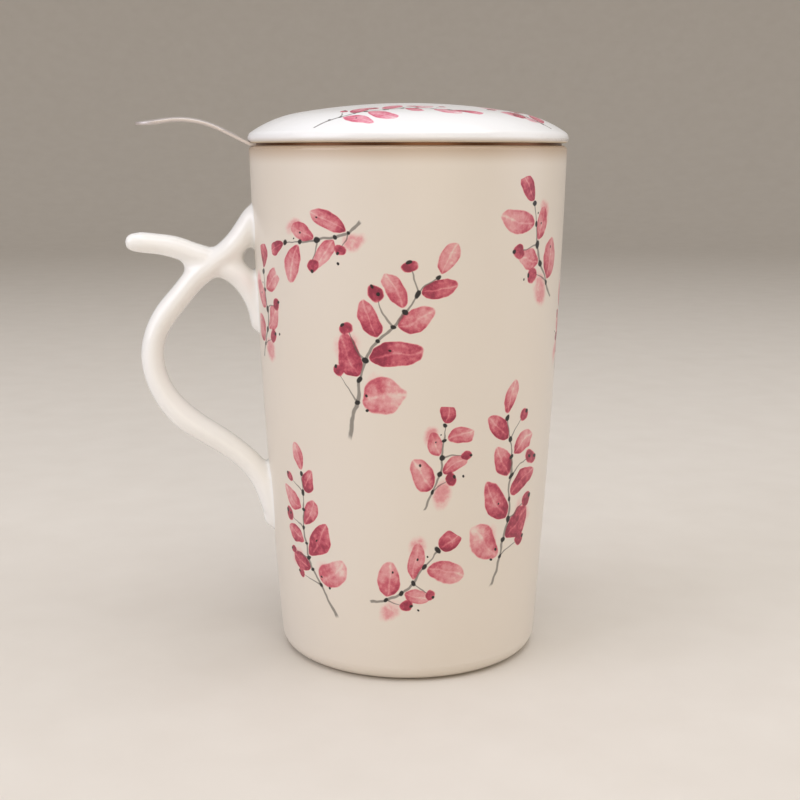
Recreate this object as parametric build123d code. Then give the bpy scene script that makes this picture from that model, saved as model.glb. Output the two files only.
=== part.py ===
from build123d import *
from math import degrees
import os

# A tall ceramic tea mug with a domed lid and a lift-out steel infuser.
# Millimetres, +Z up. The origin is the centre of the foot, and the handle points along -X.

# ---- Mug body, slip-cast ceramic -------------------------------------------------
rim_radius = 43.0
mug_height = 137.6
base_radius = 35.0
wall_bulge = 0.85  # how far the wall swells past a straight taper, half way up
wall = 4.2
floor_thickness = 5.5
base_edge_radius = 4.3
floor_corner_radius = 9.0
rim_outer_radius = 1.2  # rounding of the lip
rim_inner_radius = 1.0
foot_ring_width = 3.2
foot_ring_depth = 1.3
foot_edge_radius = 0.6

# ---- Handle, two crossing branches luted to the body --------------------------------
handle_drop = 15.2  # rim to the top of the handle
handle_height = 89.4
handle_reach = 34.6  # from the wall to the thumb rest's tip
branch_thickness = 6.5
grip_depth = 9.4  # across the handle
thumb_depth = 8.2
crossing_round = 2.6  # web between the two branches
tip_round = 0.9

# Stations along each branch, in percent: down the handle's height, out along its reach,
# and of the branch's thickness. Stations at or under zero reach are inside the wall.
grip_branch = [
    (2.5, -7, 107),
    (6.8, 3, 104),
    (11, 11, 102),
    (15, 21.5, 102),
    (18.5, 34, 102),
    (22.5, 47, 98),
    (29, 62, 96),
    (36, 76, 94),
    (44.5, 83.5, 92),
    (54.5, 80, 94),
    (61, 71, 101),
    (66.5, 57, 105),
    (71.5, 38.5, 100),
    (76, 23.5, 96),
    (81.5, 10.5, 98),
    (87.5, 2.5, 104),
    (94, -2, 102),
    (99.5, -6, 75),
]
thumb_branch = [
    (11.5, 98, 45),
    (11.5, 95, 68),
    (11.5, 90, 82),
    (11.8, 80, 85),
    (12.5, 67, 88),
    (14, 54, 91),
    (16, 40.5, 95),
    (19, 24, 99),
    (22.5, 10.5, 104),
    (26.8, 3.8, 96),
    (31.3, -0.5, 92),
    (35.5, -2, 88),
    (38.3, -4, 70),
]

# ---- Infuser, stainless sheet ---------------------------------------------------------
flange_sheet = 0.7  # flange, collar and strip handle are one gauge
screen_sheet = 0.5
collar_gap = 2.5  # mug's mouth to the collar
collar_depth = 9.0
collar_bend = 1.2
flange_set_back = 1.5  # flange edge inside the mug's rim edge
screen_lap = 3.0  # height of the lap and of the bottom band
infuser_depth = 96.0  # rim to the infuser's floor
basket_gap = 2.9  # mug's inner wall to the basket, at the basket's floor
base_ring_lip = 3.0
base_ring_round = 0.4  # rounding of the hoop's lower edge
screen_window = 2.4  # width and height of each window
screen_columns = 24
screen_rows = 8
base_hole_radius = 1.1
base_hole_circles = 4
base_holes_in_first_circle = 6

# ---- Infuser's strip handle --------------------------------------------------------------
strip_width = 11.0
strip_reach = 29.6  # rim edge to the strip's tip
strip_leg = 8.0
strip_notch_gap = 0.3
strip_bend_in = 0.4  # where the strip turns up, inside the rim's edge
strip_bend_radius = 2.5
strip_crest_out = 14.3  # rim edge to the corner of its hump
strip_crest_rise = 7.55
strip_crest_radius = 24.0
strip_tip_rise = 5.3
weld_mark_radius = 1.4
weld_mark_depth = 0.15

# ---- Lid, domed ceramic ------------------------------------------------------------------
lid_overhang = 0.3
lid_height = 10.7  # flange to the top of the dome
lid_edge_height = 2.3  # upright edge, before its corners are rounded
lid_edge_upper_radius = 2.0
lid_edge_lower_radius = 1.2
lid_shoulder_in = 13.3  # lid's edge to the point where the dome turns down
lid_shoulder_drop = 2.65
lid_thickness = 4.2  # at the crown
lid_hollow_rise = 3.2  # flange to the hollow's upper corner
locating_ring_gap = 0.6  # inside the collar, all round
locating_ring_depth = 5.0
locating_ring_width = 3.6
locating_ring_round = 0.8

# ---- Places that follow from the sizes above ------------------------------------------------
seat_height = mug_height + flange_sheet  # the lid rests here, on the flange
mouth_radius = rim_radius - wall
collar_outer = mouth_radius - collar_gap
collar_inner = collar_outer - flange_sheet
screen_top_outer = collar_inner
screen_floor = mug_height - infuser_depth
collar_foot = mug_height - collar_depth
past_all = 4 * mug_height  # longer than anything that a tool of this length cuts


def wall_radius(height):
    """Outer radius of the mug at a height: a taper that swells a little in the middle."""
    share = height / mug_height
    taper = base_radius + (rim_radius - base_radius) * share
    return taper + 4 * wall_bulge * share * (1 - share)


# The basket tapers with the mug, so its floor follows the mug's inner wall at that height.
screen_floor_outer = wall_radius(screen_floor) - wall - basket_gap


def at(face, x, z):
    """The corner of a half section that is nearest to a place."""
    return face.vertices().sort_by_distance((x, z, 0))[0]


def turned(section):
    """A half section, drawn as radius and height, turned about the mug's axis."""
    return revolve(Plane.XZ * section, Axis.Z)


def mug_section(inset, bottom):
    """Half section of the mug's form, drawn in by inset, from bottom up to the rim."""
    middle = (bottom + mug_height) / 2
    low = (wall_radius(bottom) - inset, bottom)
    top = (rim_radius - inset, mug_height)
    side = ThreePointArc(low, (wall_radius(middle) - inset, middle), top)
    rest = Polyline(top, (0, mug_height), (0, bottom), low)
    return make_face(side + rest)


def outer_section():
    """Half section of the mug as if it were solid, with its rounded base edge."""
    section = mug_section(0, 0)
    return fillet(at(section, base_radius, 0), base_edge_radius)


def mug_body():
    """The vessel, with a rounded lip, a rounded floor and a foot ring."""
    outer = outer_section()
    outer = fillet(at(outer, rim_radius, mug_height), rim_outer_radius)
    inner = mug_section(wall, floor_thickness)
    corner = at(inner, wall_radius(floor_thickness) - wall, floor_thickness)
    inner = fillet(corner, floor_corner_radius)
    section = outer - inner
    section = fillet(at(section, mouth_radius, mug_height), rim_inner_radius)
    ring_inner = base_radius - base_edge_radius - foot_ring_width
    recess = make_face(
        Polyline((0, 0), (ring_inner, 0), (ring_inner, foot_ring_depth), (0, foot_ring_depth), close=True)
    )
    section -= recess
    section = fillet(at(section, ring_inner, 0), foot_edge_radius)
    return turned(section)


def branch(stations, depth):
    """One branch of the handle: an oval section carried through its stations."""
    points = []
    for down, out, thickness in stations:
        height = mug_height - handle_drop - handle_height * down / 100
        stand = handle_reach * out / 100
        points.append(Vector(-wall_radius(height) - stand, 0, height))
    ovals = []
    for i, (down, out, thickness) in enumerate(stations):
        along = points[min(i + 1, len(points) - 1)] - points[max(i - 1, 0)]
        share = thickness / 100
        plane = Plane(points[i], x_dir=(0, 1, 0), z_dir=along.normalized())
        oval = Ellipse(depth * share / 2, branch_thickness * share / 2)
        ovals.append(plane * oval)
    return loft(ovals)


def mug_handle():
    """The two branches as one casting, webbed where they cross, with roots on the mug's wall."""
    thumb = branch(thumb_branch, thumb_depth)
    tip = thumb.faces().sort_by(Axis.X)[0]
    thumb = fillet(tip.edges(), tip_round)
    grip = branch(grip_branch, grip_depth)
    crossed = grip + thumb
    crossed = fillet(new_edges(grip, thumb, combined=crossed), crossing_round)
    return crossed - turned(outer_section())


def lid():
    """A shallow dome with a flat seat and a ring that locates it in the collar."""
    edge = rim_radius + lid_overhang
    top = seat_height + lid_height
    land = seat_height + lid_edge_height
    shoulder = (edge - lid_shoulder_in, top - lid_shoulder_drop)
    crown = TangentArc((0, top), shoulder, tangent=(1, 0))
    fall = TangentArc(shoulder, (edge, land), tangent=crown % 1)
    ring_outer = collar_inner - locating_ring_gap
    ring_inner = ring_outer - locating_ring_width
    ring_foot = seat_height - locating_ring_depth
    hollow_top = (0, top - lid_thickness)
    hollow_side = (ring_inner, seat_height + lid_hollow_rise)
    under = TangentArc(hollow_top, hollow_side, tangent=(1, 0))
    rest = Polyline(
        hollow_side,
        (ring_inner, ring_foot),
        (ring_outer, ring_foot),
        (ring_outer, seat_height),
        (edge, seat_height),
        (edge, land),
    )
    section = make_face(crown + fall + rest + under + Line(hollow_top, (0, top)))
    section = fillet(at(section, edge, land), lid_edge_upper_radius)
    section = fillet(at(section, edge, seat_height), lid_edge_lower_radius)
    feet = [at(section, ring_outer, ring_foot), at(section, ring_inner, ring_foot)]
    return turned(fillet(feet, locating_ring_round))


def infuser_rim():
    """Flange and collar pressed from one sheet, with a notch for the strip handle."""
    flange_edge = rim_radius - flange_set_back
    section = make_face(
        Polyline(
            (collar_inner, collar_foot),
            (collar_outer, collar_foot),
            (collar_outer, mug_height),
            (flange_edge, mug_height),
            (flange_edge, seat_height),
            (collar_inner, seat_height),
            close=True,
        )
    )
    section = fillet(at(section, collar_inner, seat_height), collar_bend)
    section = fillet(at(section, collar_outer, mug_height), collar_bend - flange_sheet)
    notch_size = (2 * (rim_radius - collar_inner), strip_width + 2 * strip_notch_gap, 4 * flange_sheet)
    notch = Pos(-rim_radius, 0, seat_height) * Box(*notch_size)
    notch -= Cylinder(collar_outer, past_all)
    return turned(section) - notch


def screen_section():
    """Half section of the screen: bottom band, taper and the lap inside the collar."""
    sheet = screen_sheet
    return make_face(
        Polyline(
            (screen_floor_outer - sheet, screen_floor),
            (screen_floor_outer, screen_floor),
            (screen_floor_outer, screen_floor + screen_lap),
            (screen_top_outer, collar_foot),
            (screen_top_outer, collar_foot + screen_lap),
            (screen_top_outer - sheet, collar_foot + screen_lap),
            (screen_top_outer - sheet, collar_foot),
            (screen_floor_outer - sheet, screen_floor + screen_lap),
            close=True,
        )
    )


def infuser_screen():
    """The tapered side of the basket. Each window stands for a patch of fine perforation."""
    low = screen_floor + 2 * screen_lap
    pitch = (collar_foot - screen_lap - low) / screen_rows
    inside = screen_floor_outer / 2
    window = make_face(
        Polyline(
            (inside, 0),
            (rim_radius, 0),
            (rim_radius, screen_window),
            (inside, screen_window),
            close=True,
        )
    )
    arc = degrees(screen_window / screen_floor_outer)
    punch = revolve(Plane.XZ * window, Axis.Z, revolution_arc=arc)
    punches = []
    for row in range(screen_rows):
        for column in range(screen_columns):
            turn = 360 * (column + 0.5 * (row % 2)) / screen_columns
            punches.append(Rot(0, 0, turn) * Pos(0, 0, low + row * pitch) * punch)
    return turned(screen_section()) - punches


def infuser_base():
    """The basket's floor, a pierced disc inside the screen's bottom band."""
    radius = screen_floor_outer - screen_sheet
    disc = Pos(0, 0, screen_floor + screen_sheet / 2) * Cylinder(radius, screen_sheet)
    spacing = (radius - base_ring_lip) / (base_hole_circles + 0.5)
    drills = [Cylinder(base_hole_radius, past_all)]
    for circle in range(1, base_hole_circles + 1):
        count = circle * base_holes_in_first_circle
        for hole in range(count):
            turn = Rot(0, 0, 360 * hole / count)
            drills.append(turn * Pos(circle * spacing, 0, 0) * Cylinder(base_hole_radius, past_all))
    return disc - drills


def infuser_base_ring():
    """The hoop that closes the basket: a band round the screen and a lip under the floor."""
    inner = screen_floor_outer
    outer = inner + screen_sheet
    under = screen_floor - screen_sheet
    section = make_face(
        Polyline(
            (inner - base_ring_lip, under),
            (outer, under),
            (outer, screen_floor + screen_lap),
            (inner, screen_floor + screen_lap),
            (inner, screen_floor),
            (inner - base_ring_lip, screen_floor),
            close=True,
        )
    )
    return turned(fillet(at(section, outer, under), base_ring_round))


def infuser_handle():
    """A strip that leaves over the rim, and a leg that lies on the collar."""
    mid = mug_height + flange_sheet / 2
    path = Plane.XZ * FilletPolyline(
        (-collar_inner, mid),
        (-rim_radius + strip_bend_in, mid),
        (-rim_radius - strip_crest_out, mug_height + strip_crest_rise),
        (-rim_radius - strip_reach, mug_height + strip_tip_rise),
        radius=[strip_bend_radius, strip_crest_radius],
    )
    start = Plane((-collar_inner, 0, mid), x_dir=(0, 1, 0), z_dir=(-1, 0, 0))
    strip = sweep(start * Rectangle(strip_width, flange_sheet), path)
    length = rim_radius + strip_reach
    plan = Pos(-length / 2, 0, 0) * SlotOverall(length, strip_width)
    strip &= extrude(plan, past_all)
    strip -= Cylinder(collar_outer, past_all)
    leg_foot = mug_height - strip_leg
    leg = Cylinder(collar_outer + flange_sheet, past_all) - Cylinder(collar_outer, past_all)
    leg_middle = Pos(-collar_outer, 0, (leg_foot + seat_height) / 2)
    leg &= leg_middle * Box(collar_outer, strip_width, seat_height - leg_foot)
    for side in (-1, 1):
        mark = Pos(-collar_outer - flange_sheet, side * strip_width / 4, mug_height - strip_leg / 2)
        leg -= mark * Rot(0, 90, 0) * Cylinder(weld_mark_radius, 2 * weld_mark_depth)
    return strip + leg


pieces = {
    "mug_body": mug_body,
    "mug_handle": mug_handle,
    "lid": lid,
    "infuser_rim": infuser_rim,
    "infuser_screen": infuser_screen,
    "infuser_base": infuser_base,
    "infuser_base_ring": infuser_base_ring,
    "infuser_handle": infuser_handle,
}
os.makedirs("parts", exist_ok=True)
for name, make in pieces.items():
    export_step(make(), "parts/" + name + ".step")
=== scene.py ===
import random
from math import cos, pi, radians, sin

import bmesh
import bpy
from mathutils import Matrix, Vector
from mathutils.bvhtree import BVHTree


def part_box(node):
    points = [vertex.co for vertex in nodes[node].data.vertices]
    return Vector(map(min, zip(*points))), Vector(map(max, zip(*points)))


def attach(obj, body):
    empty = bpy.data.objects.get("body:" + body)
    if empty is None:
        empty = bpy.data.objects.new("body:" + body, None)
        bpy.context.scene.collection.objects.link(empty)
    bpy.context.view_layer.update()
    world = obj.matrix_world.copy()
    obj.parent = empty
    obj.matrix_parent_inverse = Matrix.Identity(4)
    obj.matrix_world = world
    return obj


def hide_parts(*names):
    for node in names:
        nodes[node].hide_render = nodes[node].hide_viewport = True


# A tall glazed tea mug with a domed lid, a handle like two crossing twigs and a lift-out
# steel infuser. Metres, +Z up. The handle and the infuser's strip point along -X, and the
# front of the mug is -Y.

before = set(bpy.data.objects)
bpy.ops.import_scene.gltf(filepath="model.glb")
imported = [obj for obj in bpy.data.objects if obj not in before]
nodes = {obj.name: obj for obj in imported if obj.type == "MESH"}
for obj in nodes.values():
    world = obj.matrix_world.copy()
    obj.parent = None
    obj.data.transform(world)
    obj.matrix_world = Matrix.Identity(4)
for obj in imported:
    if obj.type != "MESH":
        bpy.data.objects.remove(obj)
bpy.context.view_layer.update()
mm = 0.001

# ---- Places read from the frame ---------------------------------------------------------
body_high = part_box("mug_body")[1]
lid_low, lid_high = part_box("lid")
flange_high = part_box("infuser_rim")[1]
screen_low, screen_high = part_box("infuser_screen")
floor_low, floor_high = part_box("infuser_base")
casting_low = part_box("mug_handle")[0]
steel_sheet = floor_high.z - floor_low.z

# ---- Modelling in general ---------------------------------------------------------------
merge_reach = 0.01 * mm  # corners that lie closer than this are one corner
smooth_angle = radians(35)  # edges that turn by less are shaded as one surface
smoothing_step = 0.5  # share of the way that one round of smoothing moves a corner

# ---- Perforated steel -------------------------------------------------------------------
hole_radius = 0.5 * mm
hole_pitch = 2.2 * mm
row_pitch = hole_pitch * sin(radians(60))  # holes stand in triangles, as punched screens have
plain_band = 3 * mm  # sheet left whole where the screen meets the collar and the hoop
round_cuts = 2  # cuts at each corner of a face that is made round
round_profile = 0.25
seam_half_angle = radians(4)  # plain strip where the screen's two ends lap
lap_width = 3.6 * mm
lap_columns = 4
lap_seat = 0.06 * mm  # the flat lap is set this deep into the round wall
weld_radius = 0.7 * mm
weld_slope = weld_radius / 3  # width of the ring that slopes down to a weld's flat middle
weld_depth = 0.08 * mm
welds = 15
disc_cuts = 96  # straight cuts that leave the basket's floor round
spare_cells = 4  # sheet beyond the floor's edge, for those cuts to take off

# ---- Strip handle -----------------------------------------------------------------------
strip_crown = 0.5 * mm
crown_run = 4 * mm  # the crown rises from nothing over this length, outside the lid
crown_cuts = 12
reach_cuts = 24
strip_edge = 0.12 * mm  # its edges are broken by tumbling
strip_edge_cuts = 2
flat_angle = radians(0.5)  # faces that turn by less than this are one flat face
sharp_angle = 1  # radians: edges that turn by more than this are the ones that are broken

# ---- Handle casting ---------------------------------------------------------------------
casting_voxel = 0.4 * mm
casting_smoothing = 7  # rounds of smoothing all over, as a worn mould gives
soft_smoothing = 16  # more rounds where slip fills the corner at the wall
tip_smoothing = 70  # and where the thumb rest's end is sponged round before firing
tip_reach = 4.5 * mm  # length of that end
tip_power = 0.5  # under one, so that the sponging stays strong along most of it
luting_reach = 2.5 * mm  # slip rounds the handle this far out from the wall
slip_cuts = (32, 16)  # segments and rings of one lump of slip
pad_proud = 0.3 * mm
pad_thickness = 1.5 * mm
pad_sink = 0.45 * mm  # how far each pad is pressed back, so that only its fillet stands proud
pad_cell = 1 * mm

# Pads of slip under the roots: height of the middle, half width and half height.
luting_pads = [
    (41.4 * mm, 7.7 * mm, 12.4 * mm),
    (94.0 * mm, 7.0 * mm, 12.0 * mm),
    (116.5 * mm, 7.7 * mm, 9.0 * mm),
]

# Lumps of slip that fill out each root's end: the height of one, then half its size out from
# the wall, across it and up it.
root_slip = [
    (37.3 * mm, (2.6 * mm, 3.7 * mm, 4.6 * mm)),
    (90.3 * mm, (2.1 * mm, 3.0 * mm, 3.0 * mm)),
    (112.4 * mm, (1.4 * mm, 2.6 * mm, 2.6 * mm)),
]

# ---- Painted decoration, in millimetres -------------------------------------------------
# Loose sprigs with leaves and berries, brushed in rose over grey stems.
unrolled_radius = 40.0  # the wall is unrolled at this radius, about its middle
cone_foot = 33.5  # radius at the foot of a cone that runs inside the wall, between its faces
cone_inset = 1.5  # how far that cone stands inside the rim's outer edge
crown_fall = 0.003  # the lid's top falls by this times its distance from the middle squared
crown_depth = 2  # and all that lies less than this under it counts as the top
sway = (16, 7.0)  # noise that bends whole sprigs: its scale and its reach
waver = (3.2, 1.2)  # noise that makes brushed edges uneven

leaf_length = 12.5
leaf_slimness = 0.62  # half width to half length
leaf_power = 1.45  # an ellipse has 2, and less makes a leaf's ends pointed
leaf_bare_stem = 0.2  # share of the stem under its first leaf
leaf_shrink = (1.05, 0.3)  # a leaf's size at the stem's foot, and what it loses up to the tip
leaf_stalk = 0.9
stem_half_width = 0.62
stem_tip = 0.4  # share of its width that a stem has left at its tip
stem_tone = 0.75
twig_half_width = 0.34
twig_length = 6.5
twig_tone = 0.7
berry_radius = 1.9
berry_stand = 0.8  # share of its radius that a berry's middle stands beyond its twig
bud_radius = 1.2
bud_share = 0.5  # size of the bud on a berry
bud_stand = 0.75  # share of the berry's radius that it stands beyond the berry's middle
wash_slimness = 0.75
washes = 2
specks = 4

# Where a stroke's ink starts to thin and where it is gone, in shares of its half size. A stem's
# end is measured from its middle, in shares of its length.
leaf_edge = (0.80, 1.02)
stem_edge = (0.55, 1.1)
stem_end = (0.48, 0.505)
dot_edge = (0.72, 1.05)
wash_edge = (0.35, 1.1)

# What chance draws from. Places along a sprig are shares of its length, places across it are
# millimetres, leans are degrees from the stem, and the rest are shares of the usual size or ink.
wash_along = (-0.35, 0.35)
wash_across = (-7, 7)
wash_size = (0.3, 0.45)
wash_tone = (0.16, 0.28)
speck_along = (-0.4, 0.4)
speck_across = (-9, 9)
speck_size = (0.25, 0.45)
leaf_lean = (42, 62)
leaf_size = (0.82, 1.1)
leaf_width = (0.85, 1.15)
leaf_tone = (0.45, 1.3)
knot_size = (0.5, 0.9)
berry_lean = (40, 70)
berry_size = (0.8, 1.1)
twig_size = (0.8, 1.3)

# Two motifs, each drawn along its own X about its middle: length, bow, leaves, half patch.
long_sprig = (46, 5, 8, (34, 19))
short_sprig = (27, 3, 5, (22, 15))

# Where each motif stands: across, up, heading in degrees, scale. A scale under zero mirrors it.
body_long = [(-14, 88, 60, 1.0), (25, 46, 84, -1.0), (-36, 34, 106, 0.85)]
body_short = [
    (31, 110, 118, 1.0),
    (-50, 92, 82, -0.9),
    (-6, 26, 38, -0.9),
    (51, 88, 72, 0.75),
    (-27, 114, 200, 0.85),
    (3, 57, 76, -0.75),
]
lid_long = [(-11, -27, 4, 0.75), (8, 24, 190, 0.75)]
lid_short = [(-29, 5, 70, 0.75), (27, -20, 140, 0.75)]

# Inks, the rose ones from the thinnest to the fullest.
body_roses = ("#EBCAC3", "#DC9A9C", "#C8616F", "#AC3C53", "#8E2A42")
lid_roses = ("#F6D6DA", "#EBA7B6", "#DD748C", "#C44E6B", "#A33A55")
grey_ink = "#5E5953"
black_ink = "#1C1817"
ink_cover = (0.02, 0.22)  # ink thinner than the first is lost, and the second hides the glaze

# Mottles of the rose ink: their size, detail, and the least and most ink that they leave.
mottles = ((1.1, 5.0, 0.55, 1.15), (5.0, 2.0, 0.6, 1.4))
mottle_roughness = 0.7
mottle_span = (0.3, 0.7)  # noise between these makes the whole change

# ---- Glaze and steel --------------------------------------------------------------------
# Places and sizes of patterns are in millimetres, as the materials' coordinates are. Depths of
# relief are in metres.
tone_drift = 45  # size of the slow changes of the glaze's tone
gloss_scale = 0.12  # changes of gloss, about 8 mm long
gloss_spread = (-0.03, 0.04)
peel_size = 7  # waves of the orange peel
peel_strength = 0.25
peel_depth = 0.2 * mm
glaze_ior = 1.52
# Brownish painted shade: below the lid's edge on the body's rim, and round the lid's lower edge.
painted_shade_tone = "#BAA289"
bare_clay = "#D8CBB4"
bare_edge = (0.2, 0.45)  # over the foot: clay up to the first height, glaze from the second
rim_painted_shade = (0.6, -5.2)  # painted shade below the lid: full at the first height over the rim, none at the second
seat_painted_shade = (-0.6, 1.5)  # painted shade round the lid's lower edge: full at the first height over the seat, none at the second
line_spacing = 0.25  # of the belt's lines
line_detail = 4.0
line_gloss = (-0.06, 0.1)
line_strength = 0.3
line_depth = 0.02 * mm
# Dark brown painted shade along the flange's edge, where the gap under the lid lies in shadow.
gap_shade_tone = "#73503A"
gap_shade_reach = (0.1, 1.2)  # inside the edge: painted shade up to the first, none from the second

# ---- Studio -----------------------------------------------------------------------------
sweep_radius = 2.4
sweep_sides = 96
sweep_bend = 0.9
sweep_bend_cuts = 10
paper_tones = ("#DAD3C9", "#E2DCD3")
paper_scale = 0.05  # clouds about 20 mm long
paper_roughness = 0.8
room_tone = "#F2EDE8"
room_strength = 0.4

# Softboxes that face the mug: name, place, width, watts and colour.
softboxes = (
    ("overhead_softbox", (0.05, -0.15, 1.0), 1.1, 7.4, "#FDFDFF"),
    ("left_softbox", (-1.05, -0.35, 0.55), 0.8, 5.3, "#EEF0FF"),
    ("right_softbox", (1.1, -0.2, 0.4), 0.8, 2.3, "#EEF0FF"),
    ("front_softbox", (0.15, -1.4, 0.45), 1.0, 4.4, "#FFF2E0"),
)

# ---- View -------------------------------------------------------------------------------
view_distance = 0.360
view_turn = radians(8)
view_height = 0.136
view_pitch = radians(7)
view_lens = 59.15
view_shift = (-0.010, -0.1085)
view_near = 0.01


def linear(hex_colour):
    """An sRGB hex colour as the linear colour that a shader takes, by the sRGB curve."""
    shares = [int(hex_colour[i : i + 2], 16) / 255 for i in (1, 3, 5)]
    return [s / 12.92 if s <= 0.04045 else ((s + 0.055) / 1.055) ** 2.4 for s in shares] + [1]


def put(tree, kind, inputs, **settings):
    """Adds a node with its settings, and gives its inputs their values or links. An input is
    named or counted: a Mix node has its two vectors at 4 and 5, and its two colours at 6 and 7."""
    node = tree.nodes.new(kind)
    for name, value in settings.items():
        setattr(node, name, value)
    for place, value in inputs.items():
        if isinstance(value, bpy.types.NodeSocket):
            tree.links.new(value, node.inputs[place])
        else:
            node.inputs[place].default_value = value
    return node


# ---- Modelling helpers ------------------------------------------------------------------
def take(piece):
    """Makes one object the only selected and active one."""
    bpy.ops.object.select_all(action="DESELECT")
    piece.select_set(True)
    bpy.context.view_layer.objects.active = piece


def start_from(add, **settings):
    """A primitive to shape a piece from, added with nothing else selected."""
    bpy.ops.object.select_all(action="DESELECT")
    add(**settings)
    return bpy.context.object


def merged_copy(node, name):
    """A copy of a CAD piece, its loose triangles joined into one surface, left in edit mode."""
    piece = bpy.data.objects.new(name, nodes[node].data.copy())
    bpy.context.scene.collection.objects.link(piece)
    take(piece)
    bpy.ops.object.mode_set(mode="EDIT")
    bpy.ops.mesh.select_all(action="SELECT")
    bpy.ops.mesh.remove_doubles(threshold=merge_reach)
    return piece


def pick(kind, wanted):
    """In edit mode, selects only the vertices, edges or faces that pass a test."""
    modes = {"verts": "VERT", "edges": "EDGE", "faces": "FACE"}
    bpy.ops.mesh.select_mode(type=modes[kind])
    bpy.ops.mesh.select_all(action="DESELECT")
    mesh = bpy.context.object.data
    shape = bmesh.from_edit_mesh(mesh)
    for part in getattr(shape, kind):
        part.select_set(bool(wanted(part)))
    shape.select_flush_mode()
    bmesh.update_edit_mesh(mesh)


def apply_modifier(piece, kind, **settings):
    """Adds a modifier with its settings and applies it."""
    modifier = piece.modifiers.new(kind.lower(), kind)
    for name, value in settings.items():
        setattr(modifier, name, value)
    take(piece)
    bpy.ops.object.modifier_apply(modifier=modifier.name)


def settle(piece):
    """Leaves a finished piece at the origin, unturned and unscaled, with its place in its mesh."""
    take(piece)
    bpy.ops.object.transform_apply(location=True, rotation=True, scale=True)
    bpy.ops.object.shade_smooth_by_angle(angle=smooth_angle)


def round_faces(radius):
    """Turns each selected vertex of the sheet in edit mode into a round face, left selected."""
    bpy.ops.mesh.bevel(
        offset=radius, segments=round_cuts, profile=round_profile, affect="VERTICES"
    )
    pick("faces", lambda f: f.calc_perimeter() < 2 * pi * radius)
    mesh = bpy.context.object.data
    for face in bmesh.from_edit_mesh(mesh).faces:
        if face.select:
            centre = face.calc_center_median()
            for corner in face.verts:
                corner.co = centre + (corner.co - centre).normalized() * radius
    bmesh.update_edit_mesh(mesh)


def punch_holes():
    """Opens a round hole at each selected vertex of the sheet in edit mode."""
    round_faces(hole_radius)
    bpy.ops.mesh.delete(type="FACE")


# ---- Perforated basket ------------------------------------------------------------------
def screen_wall():
    """The basket's tapered side: punched sheet rolled to a cone, plain at its lap and its ends."""
    foot_radius = floor_high.x + steel_sheet
    foot = screen_low.z + plain_band
    top = screen_high.z - plain_band
    columns = round(2 * pi * screen_high.x / hole_pitch)
    rows = round((top - foot) / row_pitch)
    wall = start_from(
        bpy.ops.mesh.primitive_cone_add,
        vertices=columns,
        radius1=foot_radius,
        radius2=screen_high.x,
        depth=top - foot,
        end_fill_type="NOTHING",
        location=(0, 0, (foot + top) / 2),
    )
    wall.name = "screen_wall"
    bpy.ops.object.transform_apply(location=True)
    bpy.ops.object.mode_set(mode="EDIT")
    pick("edges", lambda e: abs(e.verts[0].co.z - e.verts[1].co.z) > row_pitch)
    bpy.ops.mesh.subdivide(number_cuts=rows - 1)
    step = (top - foot) / rows

    def row_of(vertex):
        return round((vertex.co.z - foot) / step)

    for end, lift in ((0, -plain_band), (rows, plain_band)):
        pick("edges", lambda e: all(row_of(v) == end for v in e.verts))
        bpy.ops.mesh.extrude_region_move(TRANSFORM_OT_translate={"value": (0, 0, lift)})
    pick("verts", lambda v: 0 < row_of(v) < rows and row_of(v) % 2)
    bpy.ops.transform.rotate(value=pi / columns, orient_axis="Z", center_override=(0, 0, 0))
    seam = foot_radius * cos(seam_half_angle)
    pick("verts", lambda v: 0 < row_of(v) < rows and v.co.x < seam * v.co.xy.length / foot_radius)
    punch_holes()
    bpy.ops.object.mode_set(mode="OBJECT")
    apply_modifier(wall, "SOLIDIFY", thickness=steel_sheet, offset=-1)
    return wall


def screen_lap():
    """The outer end of the rolled sheet, lapped over the inner one and spot-welded along it."""
    low = Vector((floor_high.x + steel_sheet, 0, screen_low.z + plain_band))
    high = Vector((screen_high.x, 0, screen_high.z - plain_band))
    along = (high - low).normalized()
    across = Vector((0, 1, 0))
    outward = across.cross(along)
    lap = start_from(
        bpy.ops.mesh.primitive_grid_add,
        x_subdivisions=lap_columns,
        y_subdivisions=welds + 1,
        size=1,
        location=(low + high) / 2 + outward * steel_sheet,
        rotation=Matrix((across, along, outward)).transposed().to_euler(),
    )
    lap.scale = (lap_width, (high - low).length, 1)
    bpy.ops.object.transform_apply(location=False, rotation=False, scale=True)
    bpy.ops.object.mode_set(mode="EDIT")
    end = (high - low).length / 2 - weld_radius
    pick("verts", lambda v: abs(v.co.x) < weld_radius and abs(v.co.y) < end)
    round_faces(weld_radius)
    bpy.ops.mesh.inset(thickness=weld_slope, depth=-weld_depth, use_individual=True)
    bpy.ops.object.mode_set(mode="OBJECT")
    apply_modifier(lap, "SOLIDIFY", thickness=steel_sheet + lap_seat, offset=-1)
    return lap


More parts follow.
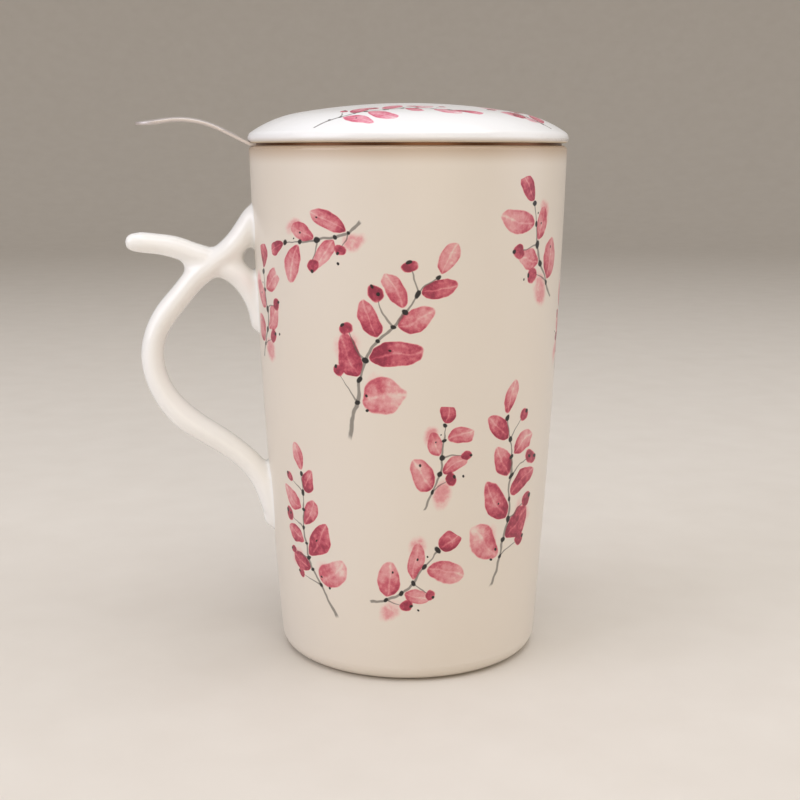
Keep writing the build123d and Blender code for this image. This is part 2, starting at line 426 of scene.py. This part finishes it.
def screen_floor():
    """The basket's floor: a disc cut from punched sheet, plain where the hoop grips it."""
    radius = floor_high.x
    columns = 2 * round(radius / hole_pitch) + spare_cells
    rows = 2 * round(radius / row_pitch) + spare_cells
    disc = start_from(
        bpy.ops.mesh.primitive_grid_add, x_subdivisions=columns, y_subdivisions=rows, size=1
    )
    disc.name = "screen_floor"
    bpy.ops.object.mode_set(mode="EDIT")
    bpy.ops.mesh.select_all(action="SELECT")
    bpy.ops.transform.resize(value=(columns * hole_pitch, rows * row_pitch, 1))
    bpy.ops.transform.translate(value=(0, 0, floor_high.z))
    pick("verts", lambda v: round(v.co.y / row_pitch) % 2)
    bpy.ops.transform.translate(value=(hole_pitch / 2, 0, 0))
    pick("verts", lambda v: v.co.xy.length < radius - plain_band)
    punch_holes()
    for i in range(disc_cuts):
        turn = 2 * pi * i / disc_cuts
        way = Vector((cos(turn), sin(turn), 0))
        bpy.ops.mesh.select_all(action="SELECT")
        bpy.ops.mesh.bisect(plane_co=way * radius, plane_no=way, clear_outer=True)
    bpy.ops.mesh.select_all(action="SELECT")
    bpy.ops.mesh.remove_doubles(threshold=merge_reach)
    bpy.ops.object.mode_set(mode="OBJECT")
    apply_modifier(disc, "SOLIDIFY", thickness=steel_sheet, offset=-1)
    return disc


# ---- Handle -----------------------------------------------------------------------------
def wall_beside(wall, across, height):
    """The place on the mug's wall at the handle's side, and the way out from it."""
    start = Vector((2 * casting_low.x, across, height))
    spot, outward, _, _ = wall.ray_cast(start, Vector((1, 0, 0)))
    return spot, outward


def slip_pads(wall):
    """Thin pads of slip laid on the mug's wall, one under each root of the handle."""
    low = min(middle - half_height for middle, _, half_height in luting_pads)
    high = max(middle + half_height for middle, _, half_height in luting_pads)
    width = 2 * max(half_width for _, half_width, _ in luting_pads)
    pads = start_from(
        bpy.ops.mesh.primitive_grid_add,
        x_subdivisions=round(width / pad_cell),
        y_subdivisions=round((high - low) / pad_cell),
        size=1,
    )
    for vertex in pads.data.vertices:
        height = (low + high) / 2 + vertex.co.y * (high - low)
        spot, outward = wall_beside(wall, vertex.co.x * width, height)
        vertex.co = spot + outward * pad_proud

    def on_pad(face):
        spot = face.calc_center_median()
        return any(
            (spot.y / half_width) ** 2 + ((spot.z - middle) / half_height) ** 2 < 1
            for middle, half_width, half_height in luting_pads
        )

    bpy.ops.object.mode_set(mode="EDIT")
    pick("faces", lambda f: not on_pad(f))
    bpy.ops.mesh.delete(type="FACE")
    bpy.ops.object.mode_set(mode="OBJECT")
    apply_modifier(pads, "SOLIDIFY", thickness=pad_thickness, offset=1)
    return pads


def soften_ends(casting, wall):
    """Rounds the casting at the wall and at the thumb rest's end, presses the pads back, and
    draws the thumb rest out again by what the smoothing took off it."""

    def near_wall(vertex):
        spot, outward, _, _ = wall.find_nearest(vertex.co)
        stand = (vertex.co - spot).dot(outward)
        return min(max((luting_reach - stand) / (luting_reach - pad_proud), 0), 1), outward

    def near_tip(vertex):
        return min(max(1 - (vertex.co.x - casting_low.x) / tip_reach, 0), 1)

    soft = casting.vertex_groups.new(name="near_wall")
    tip = casting.vertex_groups.new(name="near_tip")
    for vertex in casting.data.vertices:
        soft.add([vertex.index], near_wall(vertex)[0], "REPLACE")
        tip.add([vertex.index], near_tip(vertex) ** tip_power, "REPLACE")
    for group, rounds in ((soft, soft_smoothing), (tip, tip_smoothing)):
        apply_modifier(
            casting, "SMOOTH", factor=smoothing_step, iterations=rounds, vertex_group=group.name
        )
    lost = min(vertex.co.x for vertex in casting.data.vertices) - casting_low.x
    for vertex in casting.data.vertices:
        near, outward = near_wall(vertex)
        vertex.co -= outward * pad_sink * near**2
        vertex.co.x -= lost * near_tip(vertex)
    casting.data.update()


def handle_casting():
    """The handle with the soft crossing of a slip casting, and slip that fills the corners
    where it is luted to the wall."""
    casting = merged_copy("mug_handle", "handle_casting")
    bpy.ops.object.mode_set(mode="OBJECT")
    wall = BVHTree.FromObject(nodes["mug_body"], bpy.context.evaluated_depsgraph_get())
    slip = [slip_pads(wall)]
    for height, half in root_slip:
        lump = start_from(
            bpy.ops.mesh.primitive_uv_sphere_add,
            segments=slip_cuts[0],
            ring_count=slip_cuts[1],
            location=wall_beside(wall, 0, height)[0],
            scale=half,
        )
        slip.append(lump)
    take(casting)
    for touch in slip:
        touch.select_set(True)
    bpy.ops.object.join()
    apply_modifier(casting, "REMESH", mode="VOXEL", voxel_size=casting_voxel)
    apply_modifier(casting, "SMOOTH", factor=smoothing_step, iterations=casting_smoothing)
    soften_ends(casting, wall)
    take(casting)
    bpy.ops.object.mode_set(mode="EDIT")
    bpy.ops.mesh.select_all(action="SELECT")
    bpy.ops.mesh.dissolve_degenerate(threshold=merge_reach)
    bpy.ops.object.mode_set(mode="OBJECT")
    return casting


# ---- Infuser's strip --------------------------------------------------------------------
def strip_handle():
    """The infuser's strip, pressed with a low crown along it that makes it stiff to lift by."""
    low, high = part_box("infuser_handle")
    strip = merged_copy("infuser_handle", "strip_handle")
    bpy.ops.mesh.dissolve_limited(angle_limit=flat_angle)

    def to_break(edge):
        return edge.calc_face_angle(0) > sharp_angle and all(v.co.x < lid_low.x for v in edge.verts)

    pick("edges", to_break)
    bpy.ops.mesh.bevel(offset=strip_edge, segments=strip_edge_cuts, affect="EDGES")
    cuts = [((0, high.y * (2 * i / crown_cuts - 1), 0), (0, 1, 0)) for i in range(1, crown_cuts)]
    reach = lid_low.x - low.x
    cuts += [((low.x + reach * i / reach_cuts, 0, 0), (1, 0, 0)) for i in range(1, reach_cuts)]
    for spot, way in cuts:
        bpy.ops.mesh.select_all(action="SELECT")
        bpy.ops.mesh.bisect(plane_co=spot, plane_no=way)
    bpy.ops.object.mode_set(mode="OBJECT")
    for vertex in strip.data.vertices:
        out = min(max((lid_low.x - vertex.co.x) / crown_run, 0), 1)
        swell = out * out * (3 - 2 * out)  # starts and ends level
        vertex.co.z += strip_crown * swell * (1 - (vertex.co.y / high.y) ** 2)
    strip.data.update()
    return strip


# ---- Brush strokes ----------------------------------------------------------------------
def stroke_group(name, draw):
    """A node group that says how much ink one stroke leaves at a place. Every drawing function
    takes the bow, though only a stem has one."""
    tree = bpy.data.node_groups.new(name, "ShaderNodeTree")
    for socket in ("Place", "Location", "Turn", "Size"):
        tree.interface.new_socket(socket, in_out="INPUT", socket_type="NodeSocketVector")
    for socket in ("Tone", "Bow"):
        tree.interface.new_socket(socket, in_out="INPUT", socket_type="NodeSocketFloat")
    tree.interface.new_socket("Ink", in_out="OUTPUT", socket_type="NodeSocketFloat")
    start = put(tree, "NodeGroupInput", {}).outputs
    frame_of_stroke = {
        "Vector": start["Place"],
        "Location": start["Location"],
        "Rotation": start["Turn"],
        "Scale": start["Size"],
    }
    local = put(tree, "ShaderNodeMapping", frame_of_stroke, vector_type="TEXTURE").outputs[0]
    ink = draw(tree, local, start["Bow"])
    toned = put(tree, "ShaderNodeMath", {0: ink, 1: start["Tone"]}, operation="MULTIPLY")
    put(tree, "NodeGroupOutput", {0: toned.outputs[0]})
    return tree


def fade(tree, value, whole, gone):
    """One where a value is at whole, falling softly to nothing at gone."""
    inputs = {"Value": value, "From Min": whole, "From Max": gone, "To Min": 1.0, "To Max": 0.0}
    return put(tree, "ShaderNodeMapRange", inputs, interpolation_type="SMOOTHSTEP").outputs[0]


def draw_leaf(tree, local, bow):
    """A pointed leaf: full of ink at its base and thin at its tip, pooled at its rim, with a
    pale midrib."""
    axes = put(tree, "ShaderNodeSeparateXYZ", {0: local}).outputs
    along = put(tree, "ShaderNodeMath", {0: axes["X"], 1: axes["X"]}, operation="MULTIPLY")
    across = put(tree, "ShaderNodeMath", {0: axes["Y"]}, operation="ABSOLUTE").outputs[0]
    side = put(tree, "ShaderNodeMath", {0: across, 1: leaf_power}, operation="POWER")
    rim = put(tree, "ShaderNodeMath", {0: along.outputs[0], 1: side.outputs[0]}).outputs[0]
    ink = fade(tree, rim, *leaf_edge)
    wet = {"Value": axes["X"], "From Min": -0.9, "From Max": 1.0, "To Min": 1.1, "To Max": 0.38}
    rib = {"Value": across, "From Min": 0.0, "From Max": 0.14, "To Min": 0.6}
    pool = {"Value": rim, "From Min": 0.45, "From Max": 0.9, "To Min": 0.8, "To Max": 1.2}
    for share in (wet, rib, pool):
        filled = {0: ink, 1: put(tree, "ShaderNodeMapRange", share).outputs[0]}
        ink = put(tree, "ShaderNodeMath", filled, operation="MULTIPLY").outputs[0]
    return ink


def draw_stem(tree, local, bow):
    """A bowed stem that thins towards its tip."""
    axes = put(tree, "ShaderNodeSeparateXYZ", {0: local}).outputs
    rest = put(tree, "ShaderNodeMath", {0: 1.0, 1: axes["X"]}, operation="SUBTRACT").outputs[0]
    arch = put(tree, "ShaderNodeMath", {0: axes["X"], 1: rest}, operation="MULTIPLY")
    middle = put(tree, "ShaderNodeMath", {0: arch.outputs[0], 1: bow}, operation="MULTIPLY")
    off = put(tree, "ShaderNodeMath", {0: axes["Y"], 1: middle.outputs[0]}, operation="SUBTRACT")
    side = put(tree, "ShaderNodeMath", {0: off.outputs[0]}, operation="ABSOLUTE")
    taper = {"Value": axes["X"], "To Min": 1.0, "To Max": stem_tip}
    width = put(tree, "ShaderNodeMapRange", taper)
    reach = {0: side.outputs[0], 1: width.outputs[0]}
    share = put(tree, "ShaderNodeMath", reach, operation="DIVIDE")
    from_middle = put(tree, "ShaderNodeMath", {0: axes["X"], 1: 0.5}, operation="SUBTRACT")
    end = put(tree, "ShaderNodeMath", {0: from_middle.outputs[0]}, operation="ABSOLUTE")
    line = {0: fade(tree, share.outputs[0], *stem_edge), 1: fade(tree, end.outputs[0], *stem_end)}
    return put(tree, "ShaderNodeMath", line, operation="MULTIPLY").outputs[0]


def draw_dot(tree, local, bow):
    """A round touch of the brush."""
    reach = put(tree, "ShaderNodeVectorMath", {0: local}, operation="LENGTH")
    return fade(tree, reach.outputs["Value"], *dot_edge)


def draw_wash(tree, local, bow):
    """A wet touch of a nearly clean brush, which fades out to nothing."""
    reach = put(tree, "ShaderNodeVectorMath", {0: local}, operation="LENGTH")
    return fade(tree, reach.outputs["Value"], *wash_edge)


strokes = {
    "leaf": stroke_group("leaf stroke", draw_leaf),
    "stem": stroke_group("stem stroke", draw_stem),
    "dot": stroke_group("dot stroke", draw_dot),
    "wash": stroke_group("wash stroke", draw_wash),
}


# ---- Sprigs -----------------------------------------------------------------------------
class Painting:
    """Strokes laid over each other in one material, as three inks: rose, grey and black."""

    def __init__(self, tree, seed):
        self.tree = tree
        self.place = None
        self.chance = random.Random(seed)
        self.inks = {}

    def look_from(self, place, patches, half):
        """Takes the place as seen from the patch that it lies in, whose middle is zero. Where
        patches overlap, the later one counts."""
        nowhere = (9.0, 9.0, 0.0)
        seen = nowhere
        for across, up, heading, scale in patches:
            inputs = {
                "Vector": place,
                "Location": (across, up, 0),
                "Rotation": (0, 0, radians(heading)),
                "Scale": (half[0] * abs(scale), half[1] * scale, 1),
            }
            local = put(self.tree, "ShaderNodeMapping", inputs, vector_type="TEXTURE").outputs[0]
            reach = put(self.tree, "ShaderNodeVectorMath", {0: local}, operation="LENGTH")
            within = {0: reach.outputs["Value"], 1: 1.0}
            inside = put(self.tree, "ShaderNodeMath", within, operation="LESS_THAN")
            choice = {0: inside.outputs[0], 4: seen, 5: local}
            seen = put(self.tree, "ShaderNodeMix", choice, data_type="VECTOR").outputs[1]
        size = {0: seen, 1: (half[0], half[1], 0)}
        self.place = put(self.tree, "ShaderNodeVectorMath", size, operation="MULTIPLY").outputs[0]

    def lay(self, ink, stroke, spot, heading, size, tone, bow=0.0):
        """Adds one stroke to an ink, darker where strokes overlap."""
        inputs = {
            "Place": self.place,
            "Location": (spot.x, spot.y, 0),
            "Turn": (0, 0, heading),
            "Size": (size[0], size[1], 1),
            "Tone": tone,
            "Bow": bow,
        }
        mark = put(self.tree, "ShaderNodeGroup", inputs, node_tree=strokes[stroke])
        both = {0: mark.outputs[0], 1: self.inks.get(ink, 0.0)}
        self.inks[ink] = put(self.tree, "ShaderNodeMath", both, use_clamp=True).outputs[0]

    def sprig(self, length, bow, leaves):
        """A bowed stem with leaves by turns left and right, one at its tip, and berries, over
        pale washes and among specks of ink."""
        chance = self.chance
        foot = Vector((-length / 2, -bow))
        arch = 4 * bow  # times share and 1 - share, this makes an arch as high as the bow
        for _ in range(washes):
            spot = Vector((length * chance.uniform(*wash_along), chance.uniform(*wash_across)))
            size = leaf_length * chance.uniform(*wash_size)
            turn = chance.uniform(0, pi)
            half = (size, size * wash_slimness)
            self.lay("rose", "wash", spot, turn, half, chance.uniform(*wash_tone))
        for _ in range(specks):
            spot = Vector((length * chance.uniform(*speck_along), chance.uniform(*speck_across)))
            size = bud_radius * chance.uniform(*speck_size)
            self.lay("black", "dot", spot, 0, (size, size), 1.0)
        stem = (length, stem_half_width)
        self.lay("grey", "stem", foot, 0, stem, stem_tone, arch / stem_half_width)
        for i in range(leaves):
            share = leaf_bare_stem + (1 - leaf_bare_stem) * i / (leaves - 1)
            knot = foot + Vector((length * share, arch * share * (1 - share)))
            side = 0 if i == leaves - 1 else (1 if i % 2 else -1)
            lean = side * radians(chance.uniform(*leaf_lean))
            shrunk = leaf_shrink[0] - leaf_shrink[1] * share
            reach = leaf_length * chance.uniform(*leaf_size) * shrunk
            way = Vector((cos(lean), sin(lean)))
            middle = knot + way * (reach / 2 + leaf_stalk)
            half = (reach / 2, reach / 2 * leaf_slimness * chance.uniform(*leaf_width))
            self.lay("rose", "leaf", middle, lean, half, chance.uniform(*leaf_tone))
            if side and i % 2 == 0:
                self.berry(knot, -side * radians(chance.uniform(*berry_lean)))
            size = bud_radius * chance.uniform(*knot_size)
            self.lay("black", "dot", knot, 0, (size, size), 1.0)

    def berry(self, knot, lean):
        """A berry at the end of a thin twig, with a black bud end."""
        way = Vector((cos(lean), sin(lean)))
        reach = twig_length * self.chance.uniform(*twig_size)
        size = berry_radius * self.chance.uniform(*berry_size)
        self.lay("grey", "stem", knot, lean, (reach, twig_half_width), twig_tone)
        end = knot + way * (reach + size * berry_stand)
        self.lay("rose", "dot", end, 0, (size, size), 1.0)
        bud = bud_radius * bud_share
        self.lay("black", "dot", end + way * size * bud_stand, 0, (bud, bud), 1.0)


def watery(tree, place):
    """A place shifted by noise: slowly, so that no two sprigs are alike, and finely, so that
    brushed edges run and waver."""
    for wave, shift in (sway, waver):
        noise = put(tree, "ShaderNodeTexNoise", {"Vector": place, "Scale": 1 / wave, "Detail": 1.0})
        middle = {0: noise.outputs["Color"], 1: (0.5, 0.5, 0.5)}
        centred = put(tree, "ShaderNodeVectorMath", middle, operation="SUBTRACT")
        step = {0: centred.outputs[0], "Scale": shift}
        small = put(tree, "ShaderNodeVectorMath", step, operation="SCALE")
        place = put(tree, "ShaderNodeVectorMath", {0: place, 1: small.outputs[0]}).outputs[0]
    flat = put(tree, "ShaderNodeVectorMath", {0: place, 1: (1, 1, 0)}, operation="MULTIPLY")
    return flat.outputs[0]


def unrolled_wall(tree, millimetres):
    """The wall unrolled: across from the middle of the front, and up. The back half carries the
    front's print, because both are measured from their own middle."""
    axes = put(tree, "ShaderNodeSeparateXYZ", {0: millimetres}).outputs
    half = put(tree, "ShaderNodeMath", {0: axes["Y"]}, operation="SIGN")
    side = put(tree, "ShaderNodeMath", {0: axes["X"], 1: half.outputs[0]}, operation="MULTIPLY")
    rightward = put(tree, "ShaderNodeMath", {0: side.outputs[0], 1: -1.0}, operation="MULTIPLY")
    away = put(tree, "ShaderNodeMath", {0: axes["Y"]}, operation="ABSOLUTE")
    sides = {0: rightward.outputs[0], 1: away.outputs[0]}
    turn = put(tree, "ShaderNodeMath", sides, operation="ARCTAN2")
    arc = {0: turn.outputs[0], 1: unrolled_radius}
    across = put(tree, "ShaderNodeMath", arc, operation="MULTIPLY")
    return put(tree, "ShaderNodeCombineXYZ", {0: across.outputs[0], 1: axes["Z"]}).outputs[0]


def flat_lid(tree, millimetres):
    """The lid as seen from above, which needs no unrolling."""
    return millimetres


def outside_wall(tree, millimetres):
    """One on the mug's outer wall and nothing inside it."""
    axes = put(tree, "ShaderNodeSeparateXYZ", {0: millimetres}).outputs
    plan = put(tree, "ShaderNodeCombineXYZ", {0: axes["X"], 1: axes["Y"]})
    radius = put(tree, "ShaderNodeVectorMath", {0: plan.outputs[0]}, operation="LENGTH")
    cone = {
        "Value": axes["Z"],
        "From Min": 0.0,
        "From Max": body_high.z / mm,
        "To Min": cone_foot,
        "To Max": body_high.x / mm - cone_inset,
    }
    limit = put(tree, "ShaderNodeMapRange", cone)
    both = {0: radius.outputs["Value"], 1: limit.outputs[0]}
    return put(tree, "ShaderNodeMath", both, operation="GREATER_THAN").outputs[0]


def on_top(tree, millimetres):
    """One on the lid's upper face, which falls away from the crown, and nothing under it."""
    axes = put(tree, "ShaderNodeSeparateXYZ", {0: millimetres}).outputs
    plan = put(tree, "ShaderNodeCombineXYZ", {0: axes["X"], 1: axes["Y"]})
    itself = {0: plan.outputs[0], 1: plan.outputs[0]}
    square = put(tree, "ShaderNodeVectorMath", itself, operation="DOT_PRODUCT")
    drop = {0: square.outputs["Value"], 1: crown_fall}
    fall = put(tree, "ShaderNodeMath", drop, operation="MULTIPLY")
    height = put(tree, "ShaderNodeMath", {0: axes["Z"], 1: fall.outputs[0]})
    both = {0: height.outputs[0], 1: lid_high.z / mm - crown_depth}
    return put(tree, "ShaderNodeMath", both, operation="GREATER_THAN").outputs[0]


def inked(tree, ground, painting, millimetres, shown, roses):
    """The glaze's colour with the three inks over it. The rose one dries in fine mottles and
    runs together in broad darker pools."""
    rose = painting.inks["rose"]
    low, high = mottle_span
    for size, detail, least, most in mottles:
        wet = {
            "Vector": millimetres,
            "Scale": 1 / size,
            "Detail": detail,
            "Roughness": mottle_roughness,
        }
        grain = put(tree, "ShaderNodeTexNoise", wet).outputs[0]
        span = {"Value": grain, "From Min": low, "From Max": high, "To Min": least, "To Max": most}
        share = put(tree, "ShaderNodeMapRange", span).outputs[0]
        rose = put(tree, "ShaderNodeMath", {0: rose, 1: share}, operation="MULTIPLY").outputs[0]
    tint = put(tree, "ShaderNodeValToRGB", {0: rose})
    ramp = tint.color_ramp
    ramp.elements[0].color = linear(roses[0])
    ramp.elements[1].color = linear(roses[-1])
    for i, colour in enumerate(roses[1:-1], start=1):
        ramp.elements.new(i / (len(roses) - 1)).color = linear(colour)
    cover = {"Value": rose, "From Min": ink_cover[0], "From Max": ink_cover[1]}
    covered = put(tree, "ShaderNodeMapRange", cover).outputs[0]
    colour = ground
    for ink, share in (
        (tint.outputs[0], covered),
        (linear(grey_ink), painting.inks["grey"]),
        (linear(black_ink), painting.inks["black"]),
    ):
        there = put(tree, "ShaderNodeMath", {0: share, 1: shown}, operation="MULTIPLY").outputs[0]
        mixed = {"Factor": there, 6: colour, 7: ink}
        colour = put(tree, "ShaderNodeMix", mixed, data_type="RGBA").outputs[2]
    return colour


def decorated(tree, ground, millimetres, sprigs, unroll, shown, roses, seed):
    """The glaze's colour with sprigs brushed over it."""
    place = watery(tree, unroll(tree, millimetres))
    painting = Painting(tree, seed)
    for (length, bow, leaves, half_patch), patches in sprigs:
        painting.look_from(place, patches, half_patch)
        painting.sprig(length, bow, leaves)
    return inked(tree, ground, painting, millimetres, shown(tree, millimetres), roses)


# ---- Materials --------------------------------------------------------------------------
def new_material(name):
    """An empty material with its shader, and the piece's coordinates in millimetres."""
    material = bpy.data.materials.new(name)
    material.use_nodes = True
    tree = material.node_tree
    shader = tree.nodes["Principled BSDF"]
    place = put(tree, "ShaderNodeTexCoord", {}).outputs["Object"]
    scaled = put(tree, "ShaderNodeVectorMath", {0: place, "Scale": 1 / mm}, operation="SCALE")
    return material, tree, shader, scaled.outputs[0]


def glaze(name, pale, warm, roughness, foot=0, thin=None, decoration=None):
    """Glossy clear glaze fired over a white slip-cast body: an even, soft gloss with a slow
    drift of tone and a faint orange peel in the reflections. Between the two heights that thin
    gives, a brownish painted shade is laid into the colour, and the foot is left bare and matt."""
    material, tree, shader, millimetres = new_material(name)
    slow = {"Vector": millimetres, "Scale": 1 / tone_drift, "Detail": 2.0}
    tone = put(tree, "ShaderNodeTexNoise", slow).outputs[0]
    tones = {"Factor": tone, 6: linear(pale), 7: linear(warm)}
    colour = put(tree, "ShaderNodeMix", tones, data_type="RGBA").outputs[2]
    if decoration:
        colour = decorated(tree, colour, millimetres, **decoration)
    height = put(tree, "ShaderNodeSeparateXYZ", {0: millimetres}).outputs["Z"]
    bare = fade(tree, height, foot + bare_edge[0], foot + bare_edge[1])
    # A brownish painted shade between the two heights that thin gives, then the bare foot.
    covers = [(fade(tree, height, *thin), painted_shade_tone)] if thin else []
    for cover, shade_and_clay_tone in covers + [(bare, bare_clay)]:
        mixed = {"Factor": cover, 6: colour, 7: linear(shade_and_clay_tone)}
        colour = put(tree, "ShaderNodeMix", mixed, data_type="RGBA").outputs[2]
    tree.links.new(colour, shader.inputs["Base Color"])
    patchy = {"Vector": millimetres, "Scale": gloss_scale, "Detail": 3.0}
    drift = put(tree, "ShaderNodeTexNoise", patchy).outputs[0]
    least, most = (roughness + change for change in gloss_spread)
    even = put(tree, "ShaderNodeMapRange", {"Value": drift, "To Min": least, "To Max": most})
    matt = put(tree, "ShaderNodeMath", {0: even.outputs[0], 1: bare}, use_clamp=True)
    tree.links.new(matt.outputs[0], shader.inputs["Roughness"])
    peel = {"Vector": millimetres, "Scale": 1 / peel_size, "Detail": 2.0}
    waves = put(tree, "ShaderNodeTexNoise", peel).outputs[0]
    relief = {"Height": waves, "Strength": peel_strength, "Distance": peel_depth}
    tree.links.new(put(tree, "ShaderNodeBump", relief).outputs[0], shader.inputs["Normal"])
    shader.inputs["IOR"].default_value = glaze_ior
    return material


def brushed_steel(name, dark, light, roughness, grain, shaded_edge_radius=None):
    """Stainless sheet finished with an abrasive belt: fine lines along the belt that spread
    the highlights across it. The lines are drawn 0.25 mm apart, coarser than real, to show.
    A dark brown painted shade lies along an edge, given by its radius, for the shadowed gap under
    the lid."""
    material, tree, shader, millimetres = new_material(name)
    shader.inputs["Metallic"].default_value = 1.0
    along = {0: millimetres, 1: grain}
    stretched = put(tree, "ShaderNodeVectorMath", along, operation="MULTIPLY").outputs[0]
    belt = {"Vector": stretched, "Scale": 1 / line_spacing, "Detail": line_detail}
    lines = put(tree, "ShaderNodeTexNoise", belt).outputs[0]
    tones = {"Factor": lines, 6: linear(dark), 7: linear(light)}
    tone = put(tree, "ShaderNodeMix", tones, data_type="RGBA").outputs[2]
    # painted shade of the gap under the lid, along the edge
    if shaded_edge_radius:
        flat = {0: millimetres, 1: (1, 1, 0)}
        plan = put(tree, "ShaderNodeVectorMath", flat, operation="MULTIPLY").outputs[0]
        radius = put(tree, "ShaderNodeVectorMath", {0: plan}, operation="LENGTH")
        whole, gone = (shaded_edge_radius - reach for reach in gap_shade_reach)
        gap_shade = fade(tree, radius.outputs["Value"], whole, gone)
        gap_shading = {"Factor": gap_shade, 6: tone, 7: linear(gap_shade_tone)}
        tone = put(tree, "ShaderNodeMix", gap_shading, data_type="RGBA").outputs[2]
    tree.links.new(tone, shader.inputs["Base Color"])
    least, most = (roughness + change for change in line_gloss)
    rough = put(tree, "ShaderNodeMapRange", {"Value": lines, "To Min": least, "To Max": most})
    tree.links.new(rough.outputs[0], shader.inputs["Roughness"])
    relief = {"Height": lines, "Strength": line_strength, "Distance": line_depth}
    tree.links.new(put(tree, "ShaderNodeBump", relief).outputs[0], shader.inputs["Normal"])
    return material


def studio_paper():
    """Pale matt paper with a faint cloudiness, for the studio's sweep."""
    material, tree, shader, millimetres = new_material("pale studio paper")
    cloud = {"Vector": millimetres, "Scale": paper_scale, "Detail": 4.0}
    fibre = put(tree, "ShaderNodeTexNoise", cloud).outputs[0]
    tones = {"Factor": fibre, 6: linear(paper_tones[0]), 7: linear(paper_tones[1])}
    tone = put(tree, "ShaderNodeMix", tones, data_type="RGBA")
    tree.links.new(tone.outputs[2], shader.inputs["Base Color"])
    shader.inputs["Roughness"].default_value = paper_roughness
    return material


def finish_with(piece, material):
    """Gives a piece one material all over."""
    piece.data.materials.clear()
    piece.data.materials.append(material)


# ---- Studio and camera ------------------------------------------------------------------
def studio():
    """A pale round sweep in a soft room, with softboxes overhead, at both sides and in front."""
    sweep = start_from(
        bpy.ops.mesh.primitive_circle_add,
        vertices=sweep_sides,
        radius=sweep_radius,
        fill_type="NGON",
    )
    sweep.name = "studio_sweep"
    bpy.ops.object.mode_set(mode="EDIT")
    pick("edges", lambda e: True)
    bpy.ops.mesh.extrude_edges_move(TRANSFORM_OT_translate={"value": (0, 0, 2 * sweep_bend)})
    pick("edges", lambda e: all(v.co.z < sweep_bend for v in e.verts))
    bpy.ops.mesh.bevel(offset=sweep_bend, segments=sweep_bend_cuts)
    bpy.ops.object.mode_set(mode="OBJECT")
    bpy.ops.object.shade_smooth()
    finish_with(sweep, studio_paper())
    aim = Vector((0, 0, body_high.z / 2))
    for name, spot, size, power, colour in softboxes:
        lamp = bpy.data.lights.new(name, "AREA")
        lamp.size = size
        lamp.energy = power
        lamp.color = linear(colour)[:3]
        stand = bpy.data.objects.new(name, lamp)
        stand.location = spot
        stand.rotation_euler = (Vector(spot) - aim).to_track_quat("Z", "Y").to_euler()
        bpy.context.scene.collection.objects.link(stand)
    world = bpy.data.worlds.new("soft_room")
    world.use_nodes = True
    room = world.node_tree.nodes["Background"].inputs
    room["Color"].default_value = linear(room_tone)
    room["Strength"].default_value = room_strength
    bpy.context.scene.world = world
    bpy.context.scene.view_settings.view_transform = "Standard"


def camera():
    """Stands a little to the handle's side, level with the rim, and looks slightly down."""
    lens = bpy.data.cameras.new("view")
    lens.lens = view_lens
    lens.shift_x, lens.shift_y = view_shift
    lens.clip_start = view_near
    stand = bpy.data.objects.new("view", lens)
    away = -view_distance
    stand.location = (away * sin(view_turn), away * cos(view_turn), view_height)
    stand.rotation_euler = (pi / 2 - view_pitch, 0, -view_turn)
    bpy.context.scene.collection.objects.link(stand)
    bpy.context.scene.camera = stand


# ---- Putting it together ----------------------------------------------------------------
studio()
camera()

rim_level = body_high.z / mm
seat_level = flange_high.z / mm
body_finish = glaze(
    "satin glaze over slip-cast ceramic, brushed with sprigs",
    pale="#E4DDD3",
    warm="#E0D6C8",
    roughness=0.3,
    # a brownish painted shade on the body just below the lid's edge
    thin=[rim_level + height for height in rim_painted_shade],
    decoration={
        "sprigs": ((long_sprig, body_long), (short_sprig, body_short)),
        "unroll": unrolled_wall,
        "shown": outside_wall,
        "roses": body_roses,
        "seed": 4,
    },
)
lid_finish = glaze(
    "white glaze over slip-cast ceramic, brushed with sprigs",
    pale="#F5F6F7",
    warm="#F1F1F1",
    roughness=0.18,
    foot=seat_level,
    # a brownish painted shade round the lid's lower edge
    thin=[seat_level + height for height in seat_painted_shade],
    decoration={
        "sprigs": ((long_sprig, lid_long), (short_sprig, lid_short)),
        "unroll": flat_lid,
        "shown": on_top,
        "roses": lid_roses,
        "seed": 9,
    },
)
handle_finish = glaze(
    "white glaze over slip-cast ceramic", pale="#FAFAF9", warm="#F6F5F1", roughness=0.13
)
pressed_finish = brushed_steel(
    "pressed stainless sheet",
    dark="#8B8279",
    light="#B3AAA2",
    roughness=0.3,
    grain=(1, 1, 0.1),
    # the painted shade of the gap under the lid runs round the flange's edge
    shaded_edge_radius=flange_high.x / mm,
)
screen_finish = brushed_steel(
    "punched stainless sheet",
    dark="#9C9690",
    light="#C9C4BE",
    roughness=0.34,
    grain=(0.1, 0.1, 1),
)
strip_finish = brushed_steel(
    "brushed stainless strip",
    dark="#CCC4C1",
    light="#E0D9D5",
    roughness=0.5,
    grain=(0.05, 1, 0.05),
)

finish_with(nodes["mug_body"], body_finish)
finish_with(nodes["lid"], lid_finish)
finish_with(nodes["infuser_rim"], pressed_finish)
finish_with(nodes["infuser_base_ring"], pressed_finish)

strip = strip_handle()
settle(strip)
finish_with(strip, strip_finish)
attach(strip, "infuser")
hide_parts("infuser_handle")

handle = handle_casting()
settle(handle)
finish_with(handle, handle_finish)
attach(handle, "mug")
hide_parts("mug_handle")

wall_piece = screen_wall()
lap_piece = screen_lap()
settle(lap_piece)
take(wall_piece)
lap_piece.select_set(True)
bpy.ops.object.join()
settle(wall_piece)
finish_with(wall_piece, screen_finish)
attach(wall_piece, "infuser")
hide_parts("infuser_screen")

floor_piece = screen_floor()
settle(floor_piece)
finish_with(floor_piece, screen_finish)
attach(floor_piece, "infuser")
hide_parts("infuser_base")
